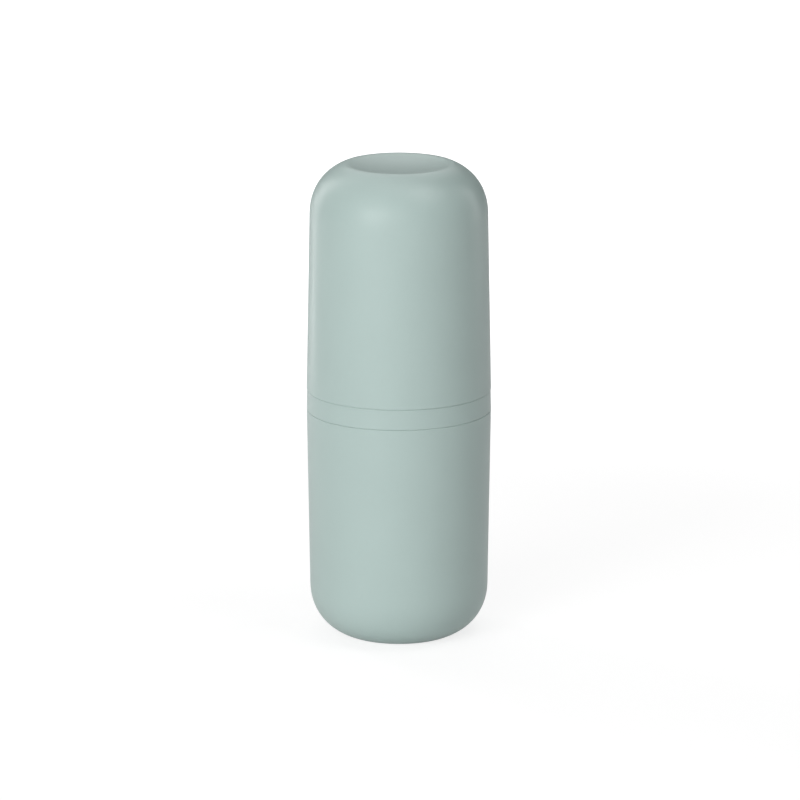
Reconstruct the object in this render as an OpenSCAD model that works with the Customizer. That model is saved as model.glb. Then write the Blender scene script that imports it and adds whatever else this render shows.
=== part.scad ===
// Travel case for an electric toothbrush. Two domed shells of the same outer form
// meet at a collar, the band between the two seams. The collar plugs into both shells,
// carries a seal on each plug, and holds a snap-in deck with a place for the handle,
// a tube of paste and two spare brush heads. +Z is up and the foot stands on Z = 0.

/* [Shells] */
// Radius of the case at its seams, which is its widest place
seam_r = 38.5; // [37:0.5:42]
// Height of the lower cup, from foot to rim
cup_h = 96.3; // [80:0.1:110]
// Height of the lid, from rim to crown
lid_h = 95.8; // [80:0.1:110]
// Wall of both shells
shell_wall = 1.8; // [1.4:0.1:2.2]
// Draft of the lid's side, in degrees
lid_draft = 1.1; // [0.6:0.1:1.6]
// Draft of the cup's side, in degrees
cup_draft = 0.9; // [0.6:0.1:1.6]
// Depth of the straight socket that takes a plug of the collar
socket_h = 16; // [15:0.5:20]
// Lead-in chamfer at the mouth of a socket
socket_lead = 0.5; // [0.3:0.1:0.8]
// Rounding of the edges that form the seams
seam_round = 0.35; // [0.2:0.05:0.5]

/* [Domed ends] */
// How far a dome reaches in from the side
dome_reach = 24.5; // [23:0.5:28]
// How far a dome reaches along the case
dome_depth = 23.3; // [20:0.1:27]
// Fullness of the dome's curve, where 2 is an ellipse
dome_fullness = 2.2; // [2:0.05:2.6]
// Radius of the ring that an end stands on
ring_r = 21.4; // [19:0.2:23]
// Width of the flat land on that ring
ring_land = 0.6; // [0.5:0.1:1.4]
// Rounding outside the land
ring_round_out = 5.5; // [3:0.5:7]
// Rounding inside the land
ring_round_in = 5; // [3:0.5:7]
// Slope of the spherical dish where it meets that rounding, in degrees
dish_slope = 10; // [6:1:14]

/* [Floor ribs of the cup] */
// Number of ribs that keep what stands in the cup out of the wet
rib_count = 8; // [6:1:12]
// Width of a rib
rib_w = 1.2; // [0.8:0.1:2]
// Height of a rib above the middle of the floor
rib_h = 1.5; // [1:0.1:2.5]
// Radius at which the ribs start
rib_start_r = 8; // [6:0.5:12]

/* [Collar] */
// Height of the band that shows between the seams
band_h = 8.6; // [6:0.1:14]
// Draft of the band, which narrows upwards, in degrees
band_draft = 1.1; // [0.5:0.1:1.6]
// Length of the plug that stands in the lid
neck_h = 14; // [13:0.5:14.5]
// Length of the plug that stands in the cup
skirt_h = 12.5; // [10:0.5:14.5]
// Wall of both plugs
plug_wall = 2.4; // [2.2:0.1:2.6]
// Gap between a plug and its socket
plug_gap = 0.25; // [0.2:0.05:0.35]
// Taper at the end of a plug
plug_lead = 0.7; // [0.4:0.1:0.9]
// Width of the ledge that carries the deck
ledge_w = 1.6; // [1.2:0.1:1.9]
// Thickness of that ledge
ledge_t = 1.6; // [1.2:0.1:2]

/* [Seals] */
// Height of a seal
seal_h = 3.2; // [2.8:0.1:3.6]
// Depth of a seal's groove
seal_groove = 1.1; // [0.9:0.05:1.2]
// Distance from a seam to the edge of the groove
seal_offset = 3.4; // [2.5:0.1:4]
// Gap between a seal's lips and the socket
seal_gap = 0.06; // [0.03:0.01:0.1]
// Clearance of a seal in its groove
seal_clear = 0.05; // [0.02:0.01:0.1]
// Height of the lips above the seal's back
lip_h = 0.42; // [0.3:0.02:0.55]

/* [Deck] */
// Thickness of the deck
deck_t = 2.4; // [2:0.1:2.6]
// How far the deck lies below the end of the neck
deck_sink = 2; // [1.5:0.1:3]
// Gap round the deck
deck_gap = 0.15; // [0.1:0.05:0.25]
// Height of the lips round the openings
rim_h = 1.5; // [1:0.1:2]
// Width of those lips
rim_w = 1.2; // [1:0.1:1.6]
// Rounding of the deck's upper edges
deck_round = 0.4; // [0.2:0.1:0.6]

/* [Snap hooks of the deck] */
// Width of a hook
hook_w = 8; // [6:0.5:10]
// Thickness of a hook's stem
hook_t = 1.4; // [1.1:0.1:1.6]
// How far a hook's nose reaches under the ledge
hook_catch = 0.6; // [0.4:0.1:0.8]
// Height of a hook's nose
hook_nose_h = 2; // [1.6:0.1:2.6]
// Clearance between a hook and the ledge
hook_gap = 0.15; // [0.1:0.05:0.2]

/* [Handle opening] */
// Radius of the bore that the handle stands in
handle_r = 16; // [14:0.25:16.5]
// Wall of the soft grip at its waist
grip_wall = 1.5; // [1.2:0.1:1.7]
// How far the grip's upper flange stands out
grip_flange_w = 1.6; // [1.2:0.1:1.7]
// Thickness of that flange
grip_flange_t = 1.4; // [1:0.1:1.8]
// How far the grip's lower bead stands out
grip_bead_w = 0.8; // [0.5:0.1:0.9]
// Height of that bead
grip_bead_h = 1.8; // [1.4:0.1:2.4]
// Gap between the grip and the deck
grip_gap = 0.05; // [0.03:0.01:0.1]
// Distance from the grip's bead to the collar's ledge
grip_edge = 1.4; // [1:0.1:2]
// Lead-in chamfer of the bore
grip_lead = 0.7; // [0.4:0.1:0.8]

/* [Tube slot] */
// Distance from the slot's lip to the grip's flange
slot_gap = 2.3; // [1.5:0.1:3.5]
// Distance from the slot's lip to the hook beside it
slot_edge = 1; // [0.6:0.1:2]
// Half of the slot's width
slot_half_w = 16.5; // [12:0.5:17]
// Rounding of the slot's corners
slot_round = 2.5; // [1.5:0.1:3.5]

/* [Brush head pegs] */
// Radius of a peg
peg_r = 1.8; // [1.5:0.05:2]
// Length of a peg above its boss
peg_h = 15; // [12:0.5:18]
// Radius of the boss that a brush head sits on
boss_r = 5.8; // [5:0.1:6]
// Height of that boss
boss_h = 1; // [0.6:0.1:1.5]
// Distance from a boss to the edge of the deck
peg_edge = 3.2; // [2.4:0.1:4]

/* [Drain holes] */
// Radius of a drain hole
drain_r = 1.5; // [1:0.1:1.8]
// Distance from a drain hole to the circle that the hooks stand on
drain_edge = 0.5; // [0.3:0.1:1]
// Angle between drain holes
drain_step = 9; // [8:0.5:10]
// Number of drain holes on each side
drain_count = 3; // [1:1:3]

/* [Hidden] */

shell_green = [0.70, 0.78, 0.76];
deck_green = [0.76, 0.83, 0.81];
silicone_white = [0.90, 0.91, 0.89];
grip_green = [0.47, 0.57, 0.54];

round_fn = 180;
small_fn = 48;
dome_steps = 20;
round_steps = 5;
bond = 0.3;

// heights of the seams
cup_seam_z = cup_h;
lid_seam_z = cup_h + band_h;

// plugs, seals and deck, from the shells inwards
socket_r = seam_r - socket_h * tan(max(lid_draft, cup_draft)) - shell_wall;
plug_r = socket_r - plug_gap;
plug_in_r = plug_r - plug_wall;
groove_r = plug_r - seal_groove;
groove_h = seal_h + 2 * seal_clear;
ledge_r = plug_in_r - ledge_w;
deck_r = plug_in_r - deck_gap;
neck_top_z = lid_seam_z + neck_h;
deck_top_z = neck_top_z - deck_sink;
deck_z = deck_top_z - deck_t;
hook_out_r = ledge_r - hook_gap;
hook_in_r = hook_out_r - hook_t;
hook_side = 135;

// soft grip and the opening that it lines
grip_waist_r = handle_r + grip_wall;
grip_flange_r = grip_waist_r + grip_flange_w;
grip_bead_r = grip_waist_r + grip_bead_w;
handle_hole_r = grip_waist_r + grip_gap;
handle_offset = ledge_r - grip_edge - grip_bead_r;

// tube slot
slot_near = -handle_offset + grip_flange_r + slot_gap + rim_w;
slot_far_r = hook_in_r - slot_edge - rim_w;

// Angle at the axis between two points, a and b from it and c from each other, or 0 where c is too short
function angle_between(a, b, c) = acos(min(1, (a * a + b * b - c * c) / (2 * a * b)));

// pegs, midway between the place where a boss would touch the grip and where it would touch the slot's lip
peg_ring_r = deck_r - peg_edge - boss_r;
slot_corner = [slot_near + slot_round, slot_half_w - slot_round];
peg_at_grip = 180 - angle_between(peg_ring_r, handle_offset, grip_flange_r + boss_r);
peg_at_slot = atan2(slot_corner[1], slot_corner[0])
    + angle_between(peg_ring_r, norm(slot_corner), slot_round + rim_w + boss_r);
peg_angle = (peg_at_grip + peg_at_slot) / 2;

// drain holes, midway between a boss and the hook beyond it
drain_ring_r = hook_in_r - drain_edge - drain_r;
drain_middle = (peg_angle + asin(boss_r / peg_ring_r) + hook_side - asin(hook_w / 2 / hook_in_r)) / 2;

// Points along an arc about [x, y], from one angle to another
function arc(x, y, r, from, to, steps = round_steps) =
    [for (i = [0:steps]) let (a = from + (to - from) * i / steps) [x + r * cos(a), y + r * sin(a)]];

// A dome's curve is a superellipse about this radius, on a shell of height h and the given draft
function dome_centre_r(h, draft) = seam_r - (h - dome_depth) * tan(draft) - dome_reach;

// Share of the dome's reach at which radius r lies
function dome_share(r, h, draft) = (r - dome_centre_r(h, draft)) / dome_reach;

// Slope of the dome at radius r, in degrees
function dome_slope(r, h, draft) =
    let (u = dome_share(r, h, draft))
    atan(dome_depth / dome_reach * pow(u, dome_fullness - 1)
        * pow(1 - pow(u, dome_fullness), 1 / dome_fullness - 1));

// Radius at which the dome runs into the rounding of the ring, found in a few steps
function dome_end_r(h, draft, r = ring_r, tries = 10) =
    tries == 0 ? r
    : dome_end_r(h, draft, ring_r + ring_land / 2 + ring_round_out * sin(dome_slope(r, h, draft)), tries - 1);

// Height at which the dome begins, so that its end meets that rounding
function dome_start_y(h, draft) =
    let (end_r = dome_end_r(h, draft),
        u = dome_share(end_r, h, draft))
    h - ring_round_out * (1 - cos(dome_slope(end_r, h, draft)))
        - dome_depth * pow(1 - pow(u, dome_fullness), 1 / dome_fullness);

// Angle of the dome's curve where the ring begins
function dome_last_angle(h, draft) =
    acos(pow(dome_share(dome_end_r(h, draft), h, draft), dome_fullness / 2));

// Points along a dome up to the one before the ring, set in from the outside by a distance
function dome_points(h, draft, inset) =
    let (start = [dome_centre_r(h, draft), dome_start_y(h, draft)],
        last = dome_last_angle(h, draft),
        bend = 2 / dome_fullness)
    [for (i = [0:dome_steps - 1])
        let (a = last * i / dome_steps,
            on = [dome_reach * pow(cos(a), bend), dome_depth * pow(sin(a), bend)],
            outwards = [pow(cos(a), 2 - bend) / dome_reach, pow(sin(a), 2 - bend) / dome_depth])
        start + on - inset * outwards / norm(outwards)];

// Radius of the sphere that the dish is part of, which meets the rounding of the ring
dish_r = (ring_r - ring_land / 2) / sin(dish_slope) - ring_round_in;

// Depth of the dish below the land
dish_depth = (dish_r + ring_round_in) * (1 - cos(dish_slope));

// Outline of a shell's closed end from the side to the axis, set in from the outside by a distance
function end_points(h, draft, inset) = concat(
    dome_points(h, draft, inset),
    arc(ring_r + ring_land / 2, h - ring_round_out, ring_round_out - inset,
        90 - dome_slope(dome_end_r(h, draft), h, draft), 90),
    arc(ring_r - ring_land / 2, h - ring_round_in, ring_round_in - inset, 90, 90 + dish_slope),
    arc(0, h - dish_depth + dish_r, dish_r + inset, dish_slope - 90, -90)
);

function reversed(list) = [for (i = [len(list) - 1:-1:0]) list[i]];

// Half section of a shell: the rim lies on y = 0 and the end points along +Y
function shell_outline(h, draft) = concat(
    arc(seam_r - seam_round, seam_round, seam_round, -90, 0),
    end_points(h, draft, 0),
    reversed(end_points(h, draft, shell_wall)),
    [[socket_r, socket_h], [socket_r, socket_lead], [socket_r + socket_lead, 0]]
);

module shell(h, draft) {
    rotate_extrude($fn = round_fn) polygon(shell_outline(h, draft));
}

// Radial ribs on the inside of the cup's end, in the shell's own place, rooted in its wall
module floor_ribs() {
    root = [0, dome_start_y(cup_h, cup_draft)];
    intersection() {
        rotate_extrude($fn = round_fn)
            polygon(concat([root], end_points(cup_h, cup_draft, shell_wall - bond)));
        for (i = [0:rib_count - 1])
            rotate([0, 0, 360 * i / rib_count])
                translate([rib_start_r, -rib_w / 2, cup_h - dish_depth - shell_wall - rib_h])
                    cube([seam_r - rib_start_r, rib_w, cup_h]);
    }
}

module lower_cup() {
    color(shell_green)
        translate([0, 0, cup_seam_z])
            mirror([0, 0, 1])
                union() {
                    shell(cup_h, cup_draft);
                    floor_ribs();
                }
}

module lid() {
    color(shell_green)
        translate([0, 0, lid_seam_z])
            shell(lid_h, lid_draft);
}

// Side of a plug from its seam to its tapered end. way is 1 for the neck and -1 for the skirt
function plug_side(seam_y, length, way) =
    let (near = seam_y + way * seal_offset, far = near + way * groove_h, end = seam_y + way * length)
    [[plug_r, seam_y], [plug_r, near], [groove_r, near], [groove_r, far], [plug_r, far],
        [plug_r, end - way * 2 * plug_lead], [plug_r - plug_lead, end]];

// Half section of the collar, with the cup's seam on y = 0
function collar_outline() =
    let (band_top_r = seam_r - band_h * tan(band_draft),
        neck_end = band_h + neck_h,
        ledge_top = deck_z - cup_seam_z)
    concat(
        reversed(plug_side(0, skirt_h, -1)),
        arc(seam_r - seam_round, seam_round, seam_round, -90, 0),
        arc(band_top_r - seam_round, band_h - seam_round, seam_round, 0, 90),
        plug_side(band_h, neck_h, 1),
        [[plug_in_r + plug_lead, neck_end], [plug_in_r, neck_end - plug_lead],
            [plug_in_r, ledge_top], [ledge_r, ledge_top], [ledge_r, ledge_top - ledge_t],
            [plug_in_r, ledge_top - ledge_t], [plug_in_r, -skirt_h]]
    );

module collar_ring() {
    color(shell_green)
        translate([0, 0, cup_seam_z])
            rotate_extrude($fn = round_fn) polygon(collar_outline());
}

// Half section of a seal with two lips, centred on y = 0
function seal_outline() =
    let (back_r = groove_r + seal_clear,
        lip_r = socket_r - seal_gap,
        lip_y = seal_h / 4)
    concat(
        [[back_r, -seal_h / 2], [lip_r - lip_h, -seal_h / 2]],
        arc(lip_r - lip_h, -lip_y, lip_h, -90, 90),
        arc(lip_r - lip_h, lip_y, lip_h, -90, 90),
        [[lip_r - lip_h, seal_h / 2], [back_r, seal_h / 2]]
    );

module seal(z) {
    color(silicone_white)
        translate([0, 0, z])
            rotate_extrude($fn = round_fn) polygon(seal_outline());
}

module cup_seal() {
    seal(cup_seam_z - seal_offset - groove_h / 2);
}

module lid_seal() {
    seal(lid_seam_z + seal_offset + groove_h / 2);
}

// Outline of the tube slot, grown outwards by a distance
function slot_outline(grow) =
    let (near = slot_near - grow,
        far_r = slot_far_r + grow,
        half = slot_half_w + grow,
        r = slot_round + grow,
        corner_x = sqrt(pow(far_r - r, 2) - pow(half - r, 2)),
        corner_a = atan2(half - r, corner_x))
    concat(
        arc(near + r, r - half, r, 180, 270),
        arc(corner_x, r - half, r, -90, -corner_a),
        arc(0, 0, far_r, -corner_a, corner_a, 3 * round_steps),
        arc(corner_x, half - r, r, corner_a, 90),
        arc(near + r, half - r, r, 90, 180)
    );

// One snap hook, hanging from the deck's underside at angle 0
module snap_hook() {
    nose_top = -ledge_t - hook_gap;
    nose_mid = nose_top - hook_nose_h / 3;
    nose_end = nose_top - hook_nose_h;
    intersection() {
        rotate_extrude($fn = round_fn)
            polygon([[hook_in_r, bond], [hook_out_r, bond], [hook_out_r, nose_top],
                [ledge_r + hook_catch, nose_top], [ledge_r + hook_catch, nose_mid],
                [hook_out_r - hook_t / 2, nose_end], [hook_in_r, nose_end]]);
        translate([0, -hook_w / 2, nose_end])
            cube([plug_r, hook_w, bond - nose_end]);
    }
}

// A peg for a spare brush head, standing on the deck's upper face
module head_peg() {
    rotate_extrude($fn = small_fn)
        polygon(concat(
            [[0, -bond], [boss_r, -bond], [boss_r, boss_h - deck_round]],
            arc(boss_r - deck_round, boss_h - deck_round, deck_round, 0, 90),
            [[peg_r, boss_h], [peg_r, boss_h + peg_h - peg_r]],
            arc(0, boss_h + peg_h - peg_r, peg_r, 0, 90)
        ));
}

module deck_plate() {
    rotate_extrude($fn = round_fn)
        polygon(concat(
            [[0, 0], [deck_r - deck_round, 0], [deck_r, deck_round]],
            arc(deck_r - deck_round, deck_t - deck_round, deck_round, 0, 90),
            [[0, deck_t]]
        ));
}

module slot_lip() {
    translate([0, 0, deck_t - bond])
        linear_extrude(rim_h + bond)
            polygon(slot_outline(rim_w));
}

module deck_openings() {
    past = 1;
    translate([-handle_offset, 0, -past])
        cylinder(r = handle_hole_r, h = deck_t + 2 * past, $fn = round_fn);
    translate([0, 0, -past])
        linear_extrude(deck_t + rim_h + 2 * past)
            polygon(slot_outline(0));
    for (side = [-1, 1], i = [0:drain_count - 1])
        rotate([0, 0, side * (drain_middle + (i - (drain_count - 1) / 2) * drain_step)])
            translate([drain_ring_r, 0, -past])
                cylinder(r = drain_r, h = deck_t + 2 * past, $fn = small_fn);
}

module holder_deck() {
    color(deck_green)
        translate([0, 0, deck_z]) {
            difference() {
                union() {
                    deck_plate();
                    slot_lip();
                }
                deck_openings();
            }
            for (side = [-1, 1])
                rotate([0, 0, side * peg_angle])
                    translate([peg_ring_r, 0, deck_t])
                        head_peg();
            for (a = [0, hook_side, -hook_side])
                rotate([0, 0, a])
                    snap_hook();
        }
}

// Half section of the soft grip, with the deck's underside on y = 0
function grip_outline() =
    let (top = deck_t + grip_gap + grip_flange_t,
        bottom = -grip_gap - grip_bead_h,
        turn = grip_flange_t / 2)
    concat(
        [[handle_r + grip_lead / 2, bottom], [grip_waist_r, bottom],
            [grip_bead_r, -grip_gap - grip_bead_h / 3], [grip_bead_r, -grip_gap],
            [grip_waist_r, -grip_gap], [grip_waist_r, deck_t + grip_gap],
            [grip_flange_r - turn, deck_t + grip_gap]],
        arc(grip_flange_r - turn, top - turn, turn, -90, 90),
        [[handle_r + grip_lead, top], [handle_r, top - grip_lead], [handle_r, bottom + grip_lead / 2]]
    );

module handle_grip() {
    color(grip_green)
        translate([-handle_offset, 0, deck_z])
            rotate_extrude($fn = round_fn) polygon(grip_outline());
}

lower_cup();
cup_seal();
collar_ring();
lid_seal();
holder_deck();
handle_grip();
lid();
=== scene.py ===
"""An upright travel case for an electric toothbrush, standing on a pale studio floor.

The case has a domed cup, a domed lid and a collar between them, and the collar carries two
seals and a snap-in deck. All lengths are metres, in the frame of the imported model.
"""

import logging
import math
from dataclasses import dataclass
from enum import Enum
from typing import Any, Optional, Sequence, Union

import bpy
from mathutils import Matrix, Vector


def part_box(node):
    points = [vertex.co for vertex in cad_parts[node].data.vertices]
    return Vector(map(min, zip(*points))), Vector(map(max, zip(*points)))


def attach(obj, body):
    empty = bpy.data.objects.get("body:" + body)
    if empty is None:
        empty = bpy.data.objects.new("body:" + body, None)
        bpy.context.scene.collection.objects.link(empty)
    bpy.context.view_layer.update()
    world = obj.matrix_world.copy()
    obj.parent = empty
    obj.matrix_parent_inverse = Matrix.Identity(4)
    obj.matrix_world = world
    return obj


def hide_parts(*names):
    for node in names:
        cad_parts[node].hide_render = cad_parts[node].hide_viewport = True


LOG = logging.getLogger("travel_case")
MM = 0.001
LID_DRAFT = math.radians(1.1)
CUP_DRAFT = math.radians(0.9)

TURN_SIDES = 192  # the sides of a full turn of a large piece
EDGE_STEPS = 3  # the steps of a plate's rounded edge
SAME_PLACE = 1e-7  # points closer than this are one
WELD_REACH = 1e-6  # how far apart the points of a turn's seam and poles may lie
AT_AXIS = 0.001 * MM  # as good as on the axis, and still with an angle about it

# A Mix node has sockets of the same name for each data type, so a colour's go by index.
MIX_FACTOR, MIX_FIRST, MIX_SECOND, MIX_RESULT = 0, 6, 7, 2

Point = tuple[float, float]
Place = tuple[float, float, float]
Colour = tuple[float, float, float, float]

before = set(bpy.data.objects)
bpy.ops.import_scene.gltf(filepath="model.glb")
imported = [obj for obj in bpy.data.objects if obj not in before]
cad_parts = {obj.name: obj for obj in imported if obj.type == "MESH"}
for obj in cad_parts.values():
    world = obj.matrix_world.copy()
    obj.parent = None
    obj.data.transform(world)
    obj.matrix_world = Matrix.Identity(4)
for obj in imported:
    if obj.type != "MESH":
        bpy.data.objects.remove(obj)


# Shader maths

class Value:
    """An output of a shader's node, with arithmetic that adds the Math nodes for it."""

    def __init__(self, shader: "Shader", socket: Any) -> None:
        """Wraps a socket.

        Args:
            shader: The shader that the socket belongs to.
            socket: An output socket of one of its nodes, or None after the tree's last node.
        """
        self.shader = shader
        self.socket = socket

    def _with(self, operation: str, *terms: Any) -> "Value":
        """Returns the result of a Math node on values or numbers."""
        return self.shader.node("ShaderNodeMath", {"operation": operation}, dict(enumerate(terms)))

    def __add__(self, other: Any) -> "Value":
        """Returns self + other."""
        return self._with("ADD", self, other)

    def __radd__(self, other: Any) -> "Value":
        """Returns other + self."""
        return self._with("ADD", other, self)

    def __sub__(self, other: Any) -> "Value":
        """Returns self - other."""
        return self._with("SUBTRACT", self, other)

    def __rsub__(self, other: Any) -> "Value":
        """Returns other - self."""
        return self._with("SUBTRACT", other, self)

    def __mul__(self, other: Any) -> "Value":
        """Returns self * other."""
        return self._with("MULTIPLY", self, other)

    def __rmul__(self, other: Any) -> "Value":
        """Returns other * self."""
        return self._with("MULTIPLY", other, self)

    def swing(self, width: float) -> "Value":
        """Returns a noise between 0 and 1 as a number of that width about 0."""
        return (self - 0.5) * width

    def smooth(self, low: float, high: float) -> "Value":
        """Returns a soft step from 0 to 1.

        Args:
            low: Where the step starts.
            high: Where it ends.

        Returns:
            The step as a value.
        """
        return self.shader.node(
            "ShaderNodeMapRange",
            {"interpolation_type": "SMOOTHSTEP"},
            {"Value": self, "From Min": low, "From Max": high, "To Min": 0.0, "To Max": 1.0},
        )


class Shader:
    """The node tree of a material or of the world, built one call at a time."""

    def __init__(self, owner: Union[bpy.types.Material, bpy.types.World]) -> None:
        """Starts an empty tree.

        Args:
            owner: The material or the world that the tree belongs to.
        """
        self.owner = owner
        self.owner.use_nodes = True
        self.tree = self.owner.node_tree
        self.tree.nodes.clear()

    def node(
        self,
        kind: str,
        settings: Optional[dict[str, Any]] = None,
        inputs: Optional[dict[Any, Any]] = None,
        output: Any = 0,
    ) -> Value:
        """Adds one node and returns one of its outputs.

        Args:
            kind: The node's type.
            settings: Attributes that are set before anything is linked.
            inputs: Values, numbers or colours by socket name or index.
            output: The output that is returned, by name or index, or None for no output.

        Returns:
            The output as a value, which is empty where no output was asked for.
        """
        made = self.tree.nodes.new(kind)
        for key, value in (settings or {}).items():
            setattr(made, key, value)
        for key, value in (inputs or {}).items():
            if isinstance(value, Value):
                self.tree.links.new(value.socket, made.inputs[key])
            else:
                made.inputs[key].default_value = value
        return Value(self, None if output is None else made.outputs[output])

    def position(self) -> Value:
        """Returns the point in object coordinates, which are the model's own metres."""
        return self.node("ShaderNodeTexCoord", output="Object")

    def noise(self, size: float, detail: float = 2.0) -> Value:
        """Returns soft noise between 0 and 1.

        Args:
            size: The size of its blotches, in metres.
            detail: How many finer layers it has.

        Returns:
            The noise as a value.
        """
        inputs = {"Vector": self.position(), "Scale": 1.0 / size, "Detail": detail}
        return self.node("ShaderNodeTexNoise", {"noise_dimensions": "3D"}, inputs, "Fac")

    def blend(self, factor: Value, first: Colour, second: Colour) -> Value:
        """Returns a colour between two: the first where the factor is 0, the second at 1."""
        inputs = {MIX_FACTOR: factor, MIX_FIRST: first, MIX_SECOND: second}
        return self.node("ShaderNodeMix", {"data_type": "RGBA"}, inputs, MIX_RESULT)

    def bump(self, height: Value, strength: float, distance: float) -> Value:
        """Returns a normal that is raised by a height."""
        inputs = {"Height": height, "Strength": strength, "Distance": distance}
        return self.node("ShaderNodeBump", inputs=inputs)

    def rays(self) -> tuple[Value, Value]:
        """Returns what is 1 for the camera's own rays, and what is 1 for rays of gloss or glass."""
        kinds = ("Is Camera Ray", "Is Glossy Ray", "Is Transmission Ray")
        camera, glossy, clear = (self.node("ShaderNodeLightPath", output=kind) for kind in kinds)
        return camera, glossy + clear

    def surface(self, shader: Value) -> Any:
        """Ends the tree in a surface shader.

        Args:
            shader: The shader.

        Returns:
            The material or the world that the tree belongs to.
        """
        kind = "World" if isinstance(self.owner, bpy.types.World) else "Material"
        self.node("ShaderNodeOutput" + kind, inputs={"Surface": shader}, output=None)
        return self.owner

    def moulded(self, colour: Value, roughness: Value, ior: float, normal: Value) -> Any:
        """Ends the tree in the surface of a moulded piece.

        Args:
            colour: The colour over the surface.
            roughness: The roughness over the surface.
            ior: How strongly the material bends light.
            normal: The normal of its skin.

        Returns:
            The material.
        """
        inputs = {"Base Color": colour, "Roughness": roughness, "IOR": ior, "Normal": normal}
        return self.surface(self.node("ShaderNodeBsdfPrincipled", inputs=inputs))


# Finishes

def tint(red: int, green: int, blue: int) -> Colour:
    """Turns a colour from display values into linear light.

    Args:
        red: Its red, from 0 to 255.
        green: Its green.
        blue: Its blue.

    Returns:
        The colour as linear RGBA.
    """

    def linear(level: int) -> float:
        """Returns one channel in linear light, by the sRGB curve."""
        part = level / 255.0
        return part / 12.92 if part <= 0.04045 else ((part + 0.055) / 1.055) ** 2.4

    return linear(red), linear(green), linear(blue), 1.0


def shade(colour: Colour, factor: float) -> Colour:
    """Returns a colour made lighter or darker by a factor."""
    red, green, blue = (min(1.0, part * factor) for part in colour[:3])
    return red, green, blue, 1.0


@dataclass(frozen=True)
class SatinPlastic:
    """Moulded polypropylene with a satin skin from an eroded tool."""

    name: str
    colour: Colour
    roughness: float = 0.36
    unevenness: float = 0.05
    ior: float = 1.49
    flow_size: float = 26 * MM
    flow_detail: float = 1.5
    flow_share: float = 0.7
    fine_size: float = 1.6 * MM
    fine_detail: float = 3.0
    cloud: float = 0.035
    grain: float = 0.22 * MM
    grain_share: float = 0.8
    coarser: float = 4.5
    coarse_detail: float = 1.0
    grain_height: float = 0.006 * MM
    grain_strength: float = 0.35

    def material(self) -> bpy.types.Material:
        """Returns the finish as a material: fine skin, slow flow clouds and an uneven sheen."""
        sh = Shader(bpy.data.materials.new(self.name))
        flow = sh.noise(self.flow_size, self.flow_detail)
        fine = sh.noise(self.fine_size, self.fine_detail)
        clouds = flow * self.flow_share + fine * (1 - self.flow_share)
        dark, light = shade(self.colour, 1 - self.cloud), shade(self.colour, 1 + self.cloud)
        sheen = flow.swing(self.unevenness) + fine.swing(self.unevenness)
        coarse = sh.noise(self.coarser * self.grain, self.coarse_detail)
        skin = sh.noise(self.grain) * self.grain_share + coarse * (1 - self.grain_share)
        normal = sh.bump(skin, self.grain_strength, self.grain_height)
        return sh.moulded(sh.blend(clouds, dark, light), sheen + self.roughness, self.ior, normal)


@dataclass(frozen=True)
class Silicone:
    """Soft silicone with a dusty, almost matt skin."""

    name: str
    colour: Colour
    roughness: float = 0.62
    unevenness: float = 0.12
    ior: float = 1.41
    dust_size: float = 2.4 * MM
    dust_detail: float = 4.0
    darkest: float = 0.95
    lightest: float = 1.04
    grain: float = 0.3 * MM
    grain_height: float = 0.01 * MM
    grain_strength: float = 0.3

    def material(self) -> bpy.types.Material:
        """Returns the finish as a material: matt, with a fine powdery unevenness."""
        sh = Shader(bpy.data.materials.new(self.name))
        dust = sh.noise(self.dust_size, self.dust_detail)
        dark, light = shade(self.colour, self.darkest), shade(self.colour, self.lightest)
        sheen = dust.swing(self.unevenness)
        normal = sh.bump(sh.noise(self.grain), self.grain_strength, self.grain_height)
        return sh.moulded(sh.blend(dust, dark, light), sheen + self.roughness, self.ior, normal)


@dataclass(frozen=True)
class StudioPaper:
    """White paper that looks white to the camera and keeps the soft shadow of what stands on it."""

    name: str
    white: float = 0.8
    glow: float = 1.3
    shadow: float = 0.4
    shadow_reach: float = 0.22
    fade_reach: float = 0.75
    mirrored: float = 0.2

    def material(self) -> bpy.types.Material:
        """Returns the finish: paper to the lamps, mostly a glow to the camera, partly to gloss."""
        sh = Shader(bpy.data.materials.new(self.name))
        camera, mirrored = sh.rays()
        away = sh.node("ShaderNodeVectorMath", {"operation": "LENGTH"}, {0: sh.position()}, "Value")
        near = 1.0 - away.smooth(self.shadow_reach, self.fade_reach)
        colour = (self.white, self.white, self.white, 1.0)
        paper = sh.node("ShaderNodeBsdfDiffuse", inputs={"Color": colour})
        light = sh.node("ShaderNodeEmission", inputs={"Strength": self.glow})
        glowing = camera * (1.0 - near * self.shadow) + mirrored * self.mirrored
        return sh.surface(sh.node("ShaderNodeMixShader", inputs={0: glowing, 1: paper, 2: light}))


class Finishes(Enum):
    """The finishes of the case."""

    SHELL = SatinPlastic("sage_satin_plastic", tint(177, 196, 192))
    DECK = SatinPlastic("pale_sage_plastic", tint(196, 211, 206), roughness=0.46)
    SEAL = Silicone("white_silicone", tint(228, 231, 227))
    GRIP = Silicone("deep_sage_silicone", tint(126, 146, 140), roughness=0.66)


# Outlines

def arc(x: float, y: float, r: float, start: float, end: float, steps: int = 7) -> list[Point]:
    """Returns points along an arc about (x, y), between two angles in degrees."""
    turns = (math.radians(start + (end - start) * i / steps) for i in range(steps + 1))
    return [(x + r * math.cos(a), y + r * math.sin(a)) for a in turns]


def circle(x: float, y: float, r: float, sides: int) -> list[Point]:
    """Returns points round a circle about (x, y), with no point twice."""
    turns = (math.tau * i / sides for i in range(sides))
    return [(x + r * math.cos(a), y + r * math.sin(a)) for a in turns]


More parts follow.
